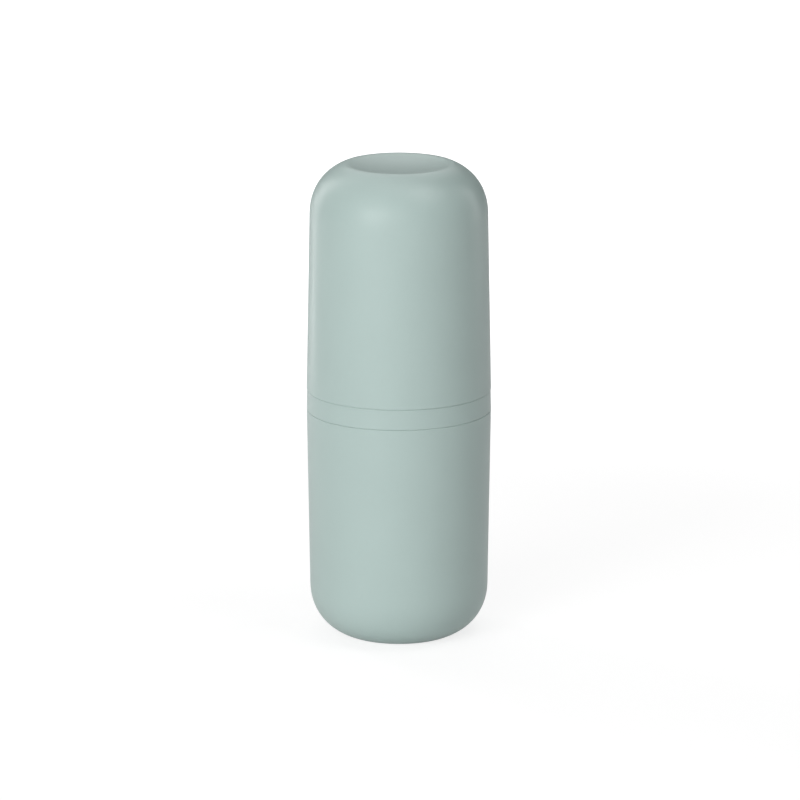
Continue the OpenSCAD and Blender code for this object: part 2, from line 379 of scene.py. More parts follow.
def supported(
    outline: Sequence[Point], longest: float = 2.4 * MM, guard: float = 0.16 * MM
) -> list[Point]:
    """Returns an outline with more points on its long stretches, so that smooth shading stays true.

    Args:
        outline: The points in order.
        longest: The longest stretch that is left.
        guard: How close to each end of a stretch a guarding point lies.

    Returns:
        The longer list of points.
    """
    result = [outline[0]]
    for (x0, y0), (x1, y1) in zip(outline, outline[1:]):
        length = math.hypot(x1 - x0, y1 - y0)
        if length < SAME_PLACE:
            continue
        stops: list[float] = []
        if length > 3 * guard:
            parts = max(1, math.ceil((length - 2 * guard) / longest))
            stops = [(guard + (length - 2 * guard) * i / parts) / length for i in range(parts + 1)]
        result += [(x0 + (x1 - x0) * t, y0 + (y1 - y0) * t) for t in stops + [1.0]]
    return result


@dataclass
class ShellForm:
    """The half section of a domed shell, with its rim on y = 0 and its end along +Y."""

    height: float
    seam_r: float
    draft: float
    wall: float = 1.8 * MM
    socket: float = 16 * MM
    lead: float = 0.5 * MM
    seam_round: float = 0.35 * MM
    reach: float = 24.5 * MM
    depth: float = 23.3 * MM
    fullness: float = 2.2
    ring_r: float = 21.4 * MM
    ring_land: float = 0.6 * MM
    round_out: float = 5.5 * MM
    round_in: float = 5.0 * MM
    dish_slope: float = 10.0
    dome_steps: int = 56
    dish_steps: int = 16
    tries: int = 10

    def __post_init__(self) -> None:
        """Works out where the dome starts, where it runs into the ring, and the dish's depth.

        The ring's rounding starts where its slope is the dome's, which is found by trying again
        from the last place.
        """
        self.centre_r = self.seam_r - (self.height - self.depth) * math.tan(self.draft) - self.reach
        self.out_r = self.ring_r + self.ring_land / 2
        self.back_r = self.ring_r - self.ring_land / 2
        self.end_r = self.ring_r
        for _ in range(self.tries):
            self.end_r = self.out_r + self.round_out * math.sin(self.slope(self.end_r))
        u = (self.end_r - self.centre_r) / self.reach
        drop = self.round_out * (1 - math.cos(self.slope(self.end_r)))
        rise = self.depth * (1 - u**self.fullness) ** (1 / self.fullness)
        self.start_y = self.height - drop - rise
        self.socket_r = self.seam_r - self.socket * math.tan(max(LID_DRAFT, CUP_DRAFT)) - self.wall
        turn = math.radians(self.dish_slope)
        self.dish_r = self.back_r / math.sin(turn) - self.round_in
        self.dish = (self.dish_r + self.round_in) * (1 - math.cos(turn))
        self.floor_y = self.height - self.dish - self.wall

    def slope(self, r: float) -> float:
        """Returns the dome's slope at a radius.

        Args:
            r: The radius.

        Returns:
            The slope in radians.
        """
        n = self.fullness
        u = (r - self.centre_r) / self.reach
        return math.atan(self.depth / self.reach * u ** (n - 1) * (1 - u**n) ** (1 / n - 1))

    def dome(self, inset: float) -> list[Point]:
        """Returns points along the dome, up to the one before the ring.

        Args:
            inset: How far inside the outer face they lie.

        Returns:
            The points, from the side up.
        """
        bend = 2 / self.fullness
        last = math.acos(((self.end_r - self.centre_r) / self.reach) ** (self.fullness / 2))
        points: list[Point] = []
        for i in range(self.dome_steps):
            turn = last * i / self.dome_steps
            cosine, sine = math.cos(turn), math.sin(turn)
            out_r, out_y = cosine ** (2 - bend) / self.reach, sine ** (2 - bend) / self.depth
            scale = inset / math.hypot(out_r, out_y)
            r = self.centre_r + self.reach * cosine**bend - scale * out_r
            y = self.start_y + self.depth * sine**bend - scale * out_y
            points.append((r, y))
        return points

    def end(self, inset: float) -> list[Point]:
        """Returns the closed end's outline, from the side to the axis.

        Args:
            inset: How far inside the outer face it lies.

        Returns:
            The points in order.
        """
        slope = math.degrees(self.slope(self.end_r))
        high, out, back, turn = self.height, self.round_out, self.round_in, self.dish_slope
        bowl_y, bowl_r = high - self.dish + self.dish_r, self.dish_r + inset
        return (
            self.dome(inset)
            + arc(self.out_r, high - out, out - inset, 90 - slope, 90)
            + arc(self.back_r, high - back, back - inset, 90, 90 + turn)
            + arc(0.0, bowl_y, bowl_r, turn - 90, -90, self.dish_steps)
        )

    def floor_height(self, r: float) -> float:
        """Returns the height of the inside of the closed end.

        Args:
            r: The radius at which it is read.

        Returns:
            The height above the rim.
        """
        points = self.end(self.wall)
        for (r0, y0), (r1, y1) in zip(points, points[1:]):
            if r0 >= r > r1:
                return y0 + (y1 - y0) * (r0 - r) / (r0 - r1)
        return self.floor_y

    def outline(self) -> list[Point]:
        """Returns the whole closed outline, ready to be turned."""
        rim = arc(self.seam_r - self.seam_round, self.seam_round, self.seam_round, -90, 0)
        way_in = [(self.socket_r, self.lead), (self.socket_r + self.lead, 0.0)]
        socket = [(self.socket_r, self.socket), *way_in]
        inside = supported(self.end(self.wall)[::-1] + socket + rim[:1])
        return supported(rim + self.end(0.0)) + inside


# Geometry Nodes

class Nodes:
    """A Geometry Nodes tree, built one call at a time."""

    def __init__(self, name: str) -> None:
        """Starts a tree with a geometry input and a geometry output.

        Args:
            name: The tree's name.
        """
        self.tree = bpy.data.node_groups.new(name, "GeometryNodeTree")
        self.tree.is_modifier = True
        for way in ("INPUT", "OUTPUT"):
            self.tree.interface.new_socket(
                "Geometry", in_out=way, socket_type="NodeSocketGeometry"
            )
        self.start = self.tree.nodes.new("NodeGroupInput")
        self.end = self.tree.nodes.new("NodeGroupOutput")

    def entry(self, name: str, kind: str, value: Any = None) -> Any:
        """Adds a named input to the tree.

        Args:
            name: The input's name.
            kind: Its socket type.
            value: What it holds unless a piece says otherwise, or None.

        Returns:
            Its socket on the input node.
        """
        item = self.tree.interface.new_socket(name, in_out="INPUT", socket_type=kind)
        if value is not None:
            item.default_value = value
        return self.start.outputs[name]

    def add(
        self,
        kind: str,
        settings: Optional[dict[str, Any]] = None,
        inputs: Optional[dict[Any, Any]] = None,
        output: Any = 0,
    ) -> Any:
        """Adds one node and returns one of its output sockets.

        Args:
            kind: The node's type.
            settings: Attributes that are set first.
            inputs: Sockets or plain values, by the input's name or index.
            output: The output that is returned, by name or index, or None for all of them.

        Returns:
            The output socket, or all the node's output sockets.
        """
        made = self.tree.nodes.new(kind)
        for key, value in (settings or {}).items():
            setattr(made, key, value)
        for key, value in (inputs or {}).items():
            if isinstance(value, bpy.types.NodeSocket):
                self.tree.links.new(value, made.inputs[key])
            else:
                made.inputs[key].default_value = value
        return made.outputs if output is None else made.outputs[output]

    def maths(self, operation: str, *terms: Any) -> Any:
        """Returns the result of a Math node on sockets or numbers."""
        return self.add("ShaderNodeMath", {"operation": operation}, dict(enumerate(terms)))

    def split(self, vector: Any) -> Any:
        """Returns the X, Y and Z sockets of a vector."""
        return self.add("ShaderNodeSeparateXYZ", inputs={0: vector}, output=None)

    def finish(self, geometry: Any, material: Any) -> bpy.types.GeometryNodeTree:
        """Ends the tree in real geometry with a material.

        Args:
            geometry: The socket with the geometry.
            material: The socket with the material.

        Returns:
            The finished tree.
        """
        real = self.add("GeometryNodeRealizeInstances", inputs={"Geometry": geometry})
        inputs = {"Geometry": real, "Material": material}
        dressed = self.add("GeometryNodeSetMaterial", inputs=inputs)
        self.tree.links.new(dressed, self.end.inputs["Geometry"])
        return self.tree


class Lathe:
    """Turns an outline about the Z axis, by a tree that bends a grid along it."""

    def __init__(self) -> None:
        """Builds the tree once for every turned piece."""
        n = Nodes("turned_about_axis")
        segments = n.entry("Segments", "NodeSocketInt", TURN_SIDES)
        material = n.entry("Finish", "NodeSocketMaterial")
        source = n.start.outputs["Geometry"]

        # A grid with a column for each point of the outline and a row for each side of the turn.
        size = n.add("GeometryNodeAttributeDomainSize", inputs={"Geometry": source}, output=None)
        rows = n.maths("ADD", segments, 1.0)
        inputs = {"Vertices X": size["Point Count"], "Vertices Y": rows}
        grid = n.add("GeometryNodeMeshGrid", inputs=inputs, output="Mesh")

        # Each grid point takes the radius and height of its column, at the angle of its row.
        index = n.add("GeometryNodeInputIndex")
        column = n.maths("FLOOR", n.maths("DIVIDE", n.maths("ADD", index, 0.5), rows))
        row = n.maths("SUBTRACT", index, n.maths("MULTIPLY", column, rows))
        taken = n.add(
            "GeometryNodeSampleIndex",
            {"data_type": "FLOAT_VECTOR", "domain": "POINT"},
            {"Geometry": source, "Value": n.add("GeometryNodeInputPosition"), "Index": column},
        )
        radius, _, height = n.split(taken)
        turn = n.maths("MULTIPLY", n.maths("DIVIDE", row, segments), math.tau)
        x = n.maths("MULTIPLY", radius, n.maths("COSINE", turn))
        y = n.maths("MULTIPLY", radius, n.maths("SINE", turn))
        place = n.add("ShaderNodeCombineXYZ", inputs={0: x, 1: y, 2: height})
        moved = n.add("GeometryNodeSetPosition", inputs={"Geometry": grid, "Position": place})

        # The seam and the poles are welded, so that the piece is closed.
        inputs = {"Geometry": moved, "Distance": WELD_REACH}
        closed = n.add("GeometryNodeMergeByDistance", inputs=inputs)
        inputs = {"Geometry": closed, "Shade Smooth": True}
        self.tree = n.finish(n.add("GeometryNodeSetShadeSmooth", inputs=inputs), material)

    def turned(
        self,
        name: str,
        outline: Sequence[Point],
        material: bpy.types.Material,
        centre: Point = (0.0, 0.0),
        segments: int = TURN_SIDES,
    ) -> bpy.types.Object:
        """Returns a turned piece.

        Args:
            name: The piece's name.
            outline: Radius and height of each point, in order.
            material: Its finish.
            centre: Where its axis stands, along X and Y.
            segments: How many sides a turn has.

        Returns:
            An object at the origin with its place in its mesh.
        """
        edges = [(i, i + 1) for i in range(len(outline) - 1)]
        piece = meshed(name, [(r, 0.0, z) for r, z in outline], edges, [])
        apply_tree(piece, self.tree, {"Segments": segments, "Finish": material})
        piece.data.transform(Matrix.Translation((*centre, 0.0)))
        return face_outwards(piece)


class RoundTheAxis:
    """Puts a copy of a piece at each point that it is given, turned to face away from the axis."""

    def __init__(self) -> None:
        """Builds the tree once for everything that repeats round the case."""
        n = Nodes("repeated_round_axis")
        piece = n.entry("Piece", "NodeSocketObject")
        material = n.entry("Finish", "NodeSocketMaterial")
        settings, inputs = {"transform_space": "ORIGINAL"}, {"Object": piece}
        copied = n.add("GeometryNodeObjectInfo", settings, inputs, "Geometry")
        x, y, _ = n.split(n.add("GeometryNodeInputPosition"))
        turn = n.add("ShaderNodeCombineXYZ", inputs={2: n.maths("ARCTAN2", y, x)})
        inputs = {"Points": n.start.outputs["Geometry"], "Instance": copied, "Rotation": turn}
        self.tree = n.finish(n.add("GeometryNodeInstanceOnPoints", inputs=inputs), material)

    def repeated(
        self,
        name: str,
        piece: bpy.types.Object,
        radius: float,
        angles: Sequence[float],
        material: bpy.types.Material,
    ) -> bpy.types.Object:
        """Returns one object that holds a copy of a piece at each angle.

        Args:
            name: The new object's name.
            piece: The piece that is repeated, drawn at the origin facing +X. It is removed.
            radius: The distance of each copy's origin from the axis.
            angles: The angles in degrees.
            material: The finish.

        Returns:
            An object at the origin with its place in its mesh.
        """
        turns = [math.radians(angle) for angle in angles]
        places = [(radius * math.cos(a), radius * math.sin(a), 0.0) for a in turns]
        holder = meshed(name, places, [], [])
        apply_tree(holder, self.tree, {"Piece": piece, "Finish": material})
        bpy.data.objects.remove(piece)
        return holder


def linked(name: str, data: Any) -> bpy.types.Object:
    """Returns a new object in the scene.

    Args:
        name: The object's name.
        data: Its mesh, curve, lamp or camera.

    Returns:
        The object, at the origin.
    """
    made = bpy.data.objects.new(name, data)
    bpy.context.scene.collection.objects.link(made)
    return made


def meshed(
    name: str,
    places: Sequence[Place],
    edges: Sequence[tuple[int, int]],
    faces: Sequence[tuple[int, ...]],
) -> bpy.types.Object:
    """Returns a new object with a mesh of its own.

    Args:
        name: The name of both.
        places: The mesh's points.
        edges: Its loose edges, by point.
        faces: Its faces, by point.

    Returns:
        The object, at the origin.
    """
    mesh = bpy.data.meshes.new(name)
    mesh.from_pydata(places, edges, faces)
    return linked(name, mesh)


def as_plain_mesh(piece: bpy.types.Object) -> bpy.types.Mesh:
    """Returns what a curve's settings or an object's modifiers make of it.

    Args:
        piece: The object.

    Returns:
        A plain mesh of its own.
    """
    bpy.context.view_layer.update()
    graph = bpy.context.evaluated_depsgraph_get()
    return bpy.data.meshes.new_from_object(piece.evaluated_get(graph))


def apply_tree(
    piece: bpy.types.Object, tree: bpy.types.GeometryNodeTree, values: dict[str, Any]
) -> None:
    """Runs a tree on an object and keeps the result as its plain mesh.

    Args:
        piece: The object.
        tree: The Geometry Nodes tree.
        values: The tree's inputs by name.
    """
    modifier = piece.modifiers.new("form", "NODES")
    modifier.node_group = tree
    for item in tree.interface.items_tree:
        if item.item_type == "SOCKET" and item.in_out == "INPUT" and item.name in values:
            modifier[item.identifier] = values[item.name]
    piece.data = as_plain_mesh(piece)
    piece.modifiers.clear()


def face_outwards(piece: bpy.types.Object) -> bpy.types.Object:
    """Turns a closed mesh's faces outwards, by the sign of its volume.

    Args:
        piece: The object with the mesh.

    Returns:
        The same object.
    """
    mesh = piece.data
    mesh.calc_loop_triangles()
    points = [vertex.co for vertex in mesh.vertices]
    corners = (triangle.vertices for triangle in mesh.loop_triangles)
    volume = sum(points[a].dot(points[b].cross(points[c])) for a, b, c in corners)
    if volume < 0:
        mesh.flip_normals()
    mesh.update()
    return piece


def swept(name: str, sections: Sequence[Sequence[Place]]) -> bpy.types.Object:
    """Returns a closed bar through a row of sections.

    Args:
        name: The bar's name.
        sections: The points round each section, as many in each and in the same order.

    Returns:
        An object at the origin with its place in its mesh.
    """
    count = len(sections[0])
    last = (len(sections) - 1) * count
    faces: list[tuple[int, ...]] = [
        (i + j, i + (j + 1) % count, i + count + (j + 1) % count, i + count + j)
        for i in range(0, last, count)
        for j in range(count)
    ]
    faces += [tuple(reversed(range(count))), tuple(range(last, last + count))]
    places = [place for section in sections for place in section]
    return face_outwards(meshed(name, places, [], faces))


def joined(name: str, pieces: Sequence[bpy.types.Object]) -> bpy.types.Object:
    """Joins objects into one.

    Args:
        name: The name of the result.
        pieces: Objects at the origin.

    Returns:
        The one object that is left.
    """
    chosen = list(pieces)
    with bpy.context.temp_override(
        active_object=chosen[0], selected_objects=chosen, selected_editable_objects=chosen
    ):
        bpy.ops.object.join()
    chosen[0].name = name
    chosen[0].data.name = name
    return chosen[0]


def cut_sheet(
    name: str,
    loops: Sequence[Sequence[Point]],
    low: float,
    high: float,
    edge: float,
    material: bpy.types.Material,
) -> bpy.types.Object:
    """Returns a flat plate with openings and rounded edges.

    Args:
        name: The piece's name.
        loops: The plate's outline and the outlines of its openings.
        low: The height of its underside.
        high: The height of its upper face.
        edge: The rounding of its edges.
        material: Its finish.

    Returns:
        An object at the origin with its place in its mesh.
    """
    curve = bpy.data.curves.new(name, "CURVE")
    curve.dimensions = "2D"
    curve.fill_mode = "BOTH"
    curve.extrude = (high - low) / 2 - edge
    curve.bevel_depth = edge
    curve.bevel_resolution = EDGE_STEPS
    curve.offset = -edge
    for loop in loops:
        spline = curve.splines.new("POLY")
        spline.points.add(len(loop) - 1)
        for place, (x, y) in zip(spline.points, loop):
            place.co = (x, y, 0.0, 1.0)
        spline.use_cyclic_u = True
    drawn = linked(name, curve)
    mesh = as_plain_mesh(drawn)
    bpy.data.objects.remove(drawn)
    mesh.transform(Matrix.Translation((0.0, 0.0, (low + high) / 2)))
    mesh.materials.clear()
    mesh.materials.append(material)
    return linked(name, mesh)


def settle(piece: bpy.types.Object, body: str, node: str) -> bpy.types.Object:
    """Attaches a finished piece to its body and hides the CAD node that it stands for.

    Args:
        piece: The finished object.
        body: The body that it rides on.
        node: The CAD node that it replaces.

    Returns:
        The same object.
    """
    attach(piece, body)
    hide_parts(node)
    LOG.info("%s: %d faces on body %s", piece.name, len(piece.data.polygons), body)
    return piece


# The case

@dataclass
class Levels:
    """The heights and radii that all the sub-assemblies share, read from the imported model."""

    seam_r: float
    cup_seam: float
    lid_seam: float
    crown: float
    skirt_end: float
    neck_end: float

    @classmethod
    def read(cls) -> "Levels":
        """Reads them from the boxes of the CAD nodes.

        Returns:
            The heights and radii.
        """
        lid_low, lid_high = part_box("lid")
        _, cup_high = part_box("lower_cup")
        ring_low, ring_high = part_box("collar_ring")
        return cls(lid_high.x, cup_high.z, lid_low.z, lid_high.z, ring_low.z, ring_high.z)


@dataclass
class Lid:
    """The upper shell."""

    levels: Levels

    def build(self, lathe: Lathe, finish: bpy.types.Material) -> bpy.types.Object:
        """Builds the lid.

        Args:
            lathe: What turns it.
            finish: Its plastic.

        Returns:
            The lid as one turned piece.
        """
        base = self.levels.lid_seam
        form = ShellForm(self.levels.crown - base, self.levels.seam_r, LID_DRAFT)
        piece = lathe.turned("lid_shell", [(r, base + y) for r, y in form.outline()], finish)
        return settle(piece, "lid", "lid")


@dataclass
class LowerCup:
    """The lower shell, with the ribs on its floor."""

    levels: Levels
    ribs: int = 8
    rib_width: float = 1.2 * MM
    rib_height: float = 1.5 * MM
    rib_start: float = 8.0 * MM
    rib_edge: float = 0.3 * MM
    rib_steps: int = 24
    edge_steps: int = 4

    def rib(self, form: ShellForm) -> bpy.types.Object:
        """Returns one floor rib along +X, which follows the floor and has rounded top edges.

        Args:
            form: The cup's outline.

        Returns:
            The rib, from near the axis to where the floor meets its top.
        """
        base, half, edge = self.levels.cup_seam, self.rib_width / 2, self.rib_edge
        top = base - form.floor_y + self.rib_height
        crest = arc(half - edge, top - edge, edge, 0, 90, self.edge_steps)
        crest += [(-y, z) for y, z in reversed(crest)]
        end = max(r for r, y in form.end(form.wall) if base - y <= top)
        sections: list[list[Place]] = []
        for i in range(self.rib_steps + 1):
            x = self.rib_start + (end - self.rib_start) * i / self.rib_steps
            root = base - form.floor_height(x) - edge
            sections.append([(x, y, z) for y, z in [(half, root), *crest, (-half, root)]])
        return swept("floor_rib", sections)

    def build(
        self, lathe: Lathe, ring: RoundTheAxis, finish: bpy.types.Material
    ) -> bpy.types.Object:
        """Builds the cup.

        Args:
            lathe: What turns its shell.
            ring: What repeats its ribs.
            finish: Its plastic.

        Returns:
            The cup with its ribs as one piece.
        """
        base = self.levels.cup_seam
        form = ShellForm(base, self.levels.seam_r, CUP_DRAFT)
        shell = lathe.turned("cup_shell", [(r, base - y) for r, y in form.outline()], finish)
        turns = [360.0 * i / self.ribs for i in range(self.ribs)]
        ribs = ring.repeated("cup_floor_ribs", self.rib(form), AT_AXIS, turns, finish)
        return settle(joined("cup_shell", [shell, ribs]), "cup", "lower_cup")


@dataclass
class Collar:
    """The moulded ring between the shells, with the band that shows and a plug for each shell."""

    levels: Levels
    socket_r: float
    gap: float = 0.25 * MM
    wall: float = 2.4 * MM
    band_draft: float = LID_DRAFT
    seam_round: float = 0.35 * MM
    groove: float = 1.1 * MM
    groove_height: float = 3.3 * MM
    groove_offset: float = 3.4 * MM
    lead: float = 0.7 * MM
    ledge_width: float = 1.6 * MM
    ledge_height: float = 1.6 * MM
    deck_height: float = 2.4 * MM
    deck_sink: float = 2.0 * MM

    def __post_init__(self) -> None:
        """Works out the radii and the place of the ledge."""
        self.plug_r = self.socket_r - self.gap
        self.inner_r = self.plug_r - self.wall
        self.groove_r = self.plug_r - self.groove
        self.ledge_r = self.inner_r - self.ledge_width
        self.deck_z = self.levels.neck_end - self.deck_sink - self.deck_height

    def side(self, seam: float, end: float) -> list[Point]:
        """Returns the side of a plug.

        Args:
            seam: The height of its seam.
            end: The height of its tapered end.

        Returns:
            The points from the seam to the end.
        """
        way = 1.0 if end > seam else -1.0
        near = seam + way * self.groove_offset
        far = near + way * self.groove_height
        return [
            (self.plug_r, seam),
            (self.plug_r, near),
            (self.groove_r, near),
            (self.groove_r, far),
            (self.plug_r, far),
            (self.plug_r, end - way * 2 * self.lead),
            (self.plug_r - self.lead, end),
        ]

    def outline(self) -> list[Point]:
        """Returns the closed outline of the ring."""
        at, r, ledge = self.levels, self.seam_round, self.deck_z
        band_top = at.seam_r - (at.lid_seam - at.cup_seam) * math.tan(self.band_draft)
        inside = [
            (self.inner_r + self.lead, at.neck_end),
            (self.inner_r, at.neck_end - self.lead),
            (self.inner_r, ledge),
            (self.ledge_r, ledge),
            (self.ledge_r, ledge - self.ledge_height),
            (self.inner_r, ledge - self.ledge_height),
            (self.inner_r, at.skirt_end),
            (self.plug_r - self.lead, at.skirt_end),
        ]
        return supported(
            list(reversed(self.side(at.cup_seam, at.skirt_end)))
            + arc(at.seam_r - r, at.cup_seam + r, r, -90, 0)
            + arc(band_top - r, at.lid_seam - r, r, 0, 90)
            + self.side(at.lid_seam, at.neck_end)
            + inside
        )

    def build(self, lathe: Lathe, finish: bpy.types.Material) -> bpy.types.Object:
        """Returns the ring as one turned piece."""
        piece = lathe.turned("collar_band", self.outline(), finish)
        return settle(piece, "holder", "collar_ring")


@dataclass
class LippedSeal:
    """A silicone ring with two lips, in a groove of the collar."""

    node: str
    lip: float = 0.42 * MM
    depth: float = 1.24 * MM
    lip_steps: int = 10

    def build(self, lathe: Lathe, finish: bpy.types.Material) -> bpy.types.Object:
        """Builds the seal in the space of its CAD node.

        Args:
            lathe: What turns it.
            finish: Its silicone.

        Returns:
            The seal as one turned piece.
        """
        low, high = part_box(self.node)
        middle, back, face = (low.z + high.z) / 2, high.x - self.depth, high.x - self.lip
        half = (high.z - low.z) / 2
        points = (
            [(back, middle - half), (face, middle - half)]
            + arc(face, middle - half / 2, self.lip, -90, 90, self.lip_steps)
            + arc(face, middle + half / 2, self.lip, -90, 90, self.lip_steps)
            + [(face, middle + half), (back, middle + half), (back, middle - half)]
        )
        piece = lathe.turned(self.node + "_ring", supported(points), finish)
        return settle(piece, "holder", self.node)


@dataclass
class HolderDeck:
    """The plate inside the collar, with its openings, pegs and snap hooks."""

    collar: Collar
    edge_gap: float = 0.15 * MM
    rounding: float = 0.4 * MM
    root: float = 0.3 * MM
    bore_wall: float = 1.5 * MM
    bore_r: float = 16 * MM
    bore_gap: float = 0.05 * MM
    bore_sides: int = 128
    flange: float = 1.6 * MM
    bead: float = 0.8 * MM
    grip_edge: float = 1.4 * MM
    slot_gap: float = 2.3 * MM
    slot_edge: float = 1.0 * MM
    slot_half: float = 16.5 * MM
    slot_round: float = 2.5 * MM
    corner_steps: int = 10
    far_steps: int = 28
    lip_width: float = 1.2 * MM
    lip_height: float = 1.5 * MM
    lip_root: float = 0.5 * MM
    lip_edge: float = 0.35 * MM
    hook_width: float = 8.0 * MM
    hook_wall: float = 1.4 * MM
    hook_gap: float = 0.15 * MM
    hook_catch: float = 0.6 * MM
    hook_nose: float = 2.0 * MM
    hook_side: float = 135.0
    hook_steps: int = 10
    peg_r: float = 1.8 * MM
    peg_height: float = 15 * MM
    peg_fillet: float = 0.5 * MM
    peg_edge: float = 3.2 * MM
    peg_steps: int = 5
    tip_steps: int = 12
    peg_sides: int = 64
    boss_r: float = 5.8 * MM
    boss_height: float = 1.0 * MM
    drain_r: float = 1.5 * MM
    drain_edge: float = 0.5 * MM
    drain_step: float = 9.0
    drain_sides: int = 40

    def __post_init__(self) -> None:
        """Works out the layout from the collar's radii."""
        c = self.collar
        self.low = c.deck_z
        self.high = c.deck_z + c.deck_height
        self.radius = c.inner_r - self.edge_gap
        self.waist_r = self.bore_r + self.bore_wall
        self.offset = c.ledge_r - self.grip_edge - self.waist_r - self.bead
        self.hook_out = c.ledge_r - self.hook_gap
        self.hook_in = self.hook_out - self.hook_wall
        past_grip = self.waist_r + self.flange
        self.slot_near = -self.offset + past_grip + self.slot_gap + self.lip_width
        self.slot_far = self.hook_in - self.slot_edge - self.lip_width

        # A peg's boss stands halfway between the grip's flange and the slot's lip.
        self.peg_ring = self.radius - self.peg_edge - self.boss_r
        corner = (self.slot_near + self.slot_round, self.slot_half - self.slot_round)
        past_lip = self.slot_round + self.lip_width + self.boss_r
        at_grip = 180 - self.between(self.peg_ring, self.offset, past_grip + self.boss_r)
        at_slot = math.degrees(math.atan2(corner[1], corner[0]))
        at_slot += self.between(self.peg_ring, math.hypot(*corner), past_lip)
        self.peg_angle = (at_grip + at_slot) / 2

        # The drain holes lie halfway between a boss and a hook.
        self.drain_ring = self.hook_in - self.drain_edge - self.drain_r
        past_boss = self.peg_angle + math.degrees(math.asin(self.boss_r / self.peg_ring))
        self.hook_half = math.asin(self.hook_width / 2 / self.hook_in)
        self.drain_middle = (past_boss + self.hook_side - math.degrees(self.hook_half)) / 2

    @staticmethod
    def between(a: float, b: float, c: float) -> float:
        """Returns the angle at the axis between two points, a and b from it and c apart."""
        return math.degrees(math.acos(min(1.0, (a * a + b * b - c * c) / (2 * a * b))))

    def slot(self, grow: float) -> list[Point]:
        """Returns the tube slot's outline.

        Args:
            grow: How far outside the opening it lies.

        Returns:
            The points round it, with no point twice.
        """
        near, far = self.slot_near - grow, self.slot_far + grow
        half, r = self.slot_half + grow, self.slot_round + grow
        corner_x = math.sqrt((far - r) ** 2 - (half - r) ** 2)
        turn = math.degrees(math.atan2(half - r, corner_x))
        loop = (
            arc(near + r, r - half, r, 180, 270, self.corner_steps)
            + arc(corner_x, r - half, r, -90, -turn, self.corner_steps)
            + arc(0, 0, far, -turn, turn, self.far_steps)
            + arc(corner_x, half - r, r, turn, 90, self.corner_steps)
            + arc(near + r, half - r, r, 90, 180, self.corner_steps)
        )
        return [p for i, p in enumerate(loop) if math.dist(p, loop[i - 1]) > SAME_PLACE]

    def drains(self) -> list[list[Point]]:
        """Returns the outlines of the drain holes, three on each side."""
        holes: list[list[Point]] = []
        for side in (-1, 1):
            for i in (-1, 0, 1):
                a = math.radians(side * (self.drain_middle + i * self.drain_step))
                x, y = self.drain_ring * math.cos(a), self.drain_ring * math.sin(a)
                holes.append(circle(x, y, self.drain_r, self.drain_sides))
        return holes

    def plate(self, finish: bpy.types.Material) -> bpy.types.Object:
        """Returns the flat plate with all its openings.

        Args:
            finish: Its plastic.

        Returns:
            The plate.
        """
        rim = circle(0.0, 0.0, self.radius, TURN_SIDES)
        bore = circle(-self.offset, 0.0, self.waist_r + self.bore_gap, self.bore_sides)
        loops = [rim, bore, self.slot(0.0), *self.drains()]
        return cut_sheet("deck_plate", loops, self.low, self.high, self.rounding, finish)

    def slot_lip(self, finish: bpy.types.Material) -> bpy.types.Object:
        """Returns the lip that stands round the tube slot.

        Args:
            finish: Its plastic.

        Returns:
            The lip, with its root in the plate.
        """
        loops = [self.slot(self.lip_width), self.slot(0.0)]
        low, high = self.high - self.lip_root, self.high + self.lip_height
        return cut_sheet("slot_lip", loops, low, high, self.lip_edge, finish)

    def peg(self, lathe: Lathe, finish: bpy.types.Material) -> bpy.types.Object:
        """Returns one peg for a brush head, with its boss.

        Args:
            lathe: What turns it.
            finish: Its plastic.

        Returns:
            The peg, standing on the axis.
        """
        low, foot, top = self.high - self.root, self.high, self.high + self.boss_height
        end, r, f, steps = top + self.peg_height, self.rounding, self.peg_fillet, self.peg_steps
        points = (
            [(0.0, low), (self.boss_r + f, low)]
            + arc(self.boss_r + f, foot + f, f, -90, -180, steps)
            + arc(self.boss_r - r, top - r, r, 0, 90, steps)
            + arc(self.peg_r + f, top + f, f, -90, -180, steps)
            + arc(0.0, end - self.peg_r, self.peg_r, 0, 90, self.tip_steps)
        )
        return lathe.turned("head_peg", supported(points), finish, segments=self.peg_sides)

    def hook(self) -> bpy.types.Object:
        """Returns one snap hook, hanging from the plate at angle 0."""
        c = self.collar
        top = self.low - c.ledge_height - self.hook_gap
        out = c.ledge_r + self.hook_catch
        profile = [
            (self.hook_in, self.low + self.root),
            (self.hook_out, self.low + self.root),
            (self.hook_out, top),
            (out, top),
            (out, top - self.hook_nose / 3),
            (self.hook_out - self.hook_wall / 2, top - self.hook_nose),
            (self.hook_in, top - self.hook_nose),
        ]
        sections: list[list[Place]] = []
        for i in range(self.hook_steps + 1):
            a = -self.hook_half + 2 * self.hook_half * i / self.hook_steps
            sections.append([(r * math.cos(a), r * math.sin(a), z) for r, z in profile])
        return swept("snap_hook", sections)

    def build(
        self, lathe: Lathe, ring: RoundTheAxis, finish: bpy.types.Material
    ) -> bpy.types.Object:
        """Builds the deck.

        Args:
            lathe: What turns its pegs.
            ring: What repeats its pegs and hooks.
            finish: Its plastic.

        Returns:
            The whole deck as one piece.
        """
        peg_turns = (self.peg_angle, -self.peg_angle)
        hook_turns = (0.0, self.hook_side, -self.hook_side)
        peg = self.peg(lathe, finish)
        pegs = ring.repeated("head_pegs", peg, self.peg_ring, peg_turns, finish)
        hooks = ring.repeated("snap_hooks", self.hook(), AT_AXIS, hook_turns, finish)
        parts = [self.plate(finish), self.slot_lip(finish), pegs, hooks]
        return settle(joined("deck_tray", parts), "holder", "holder_deck")


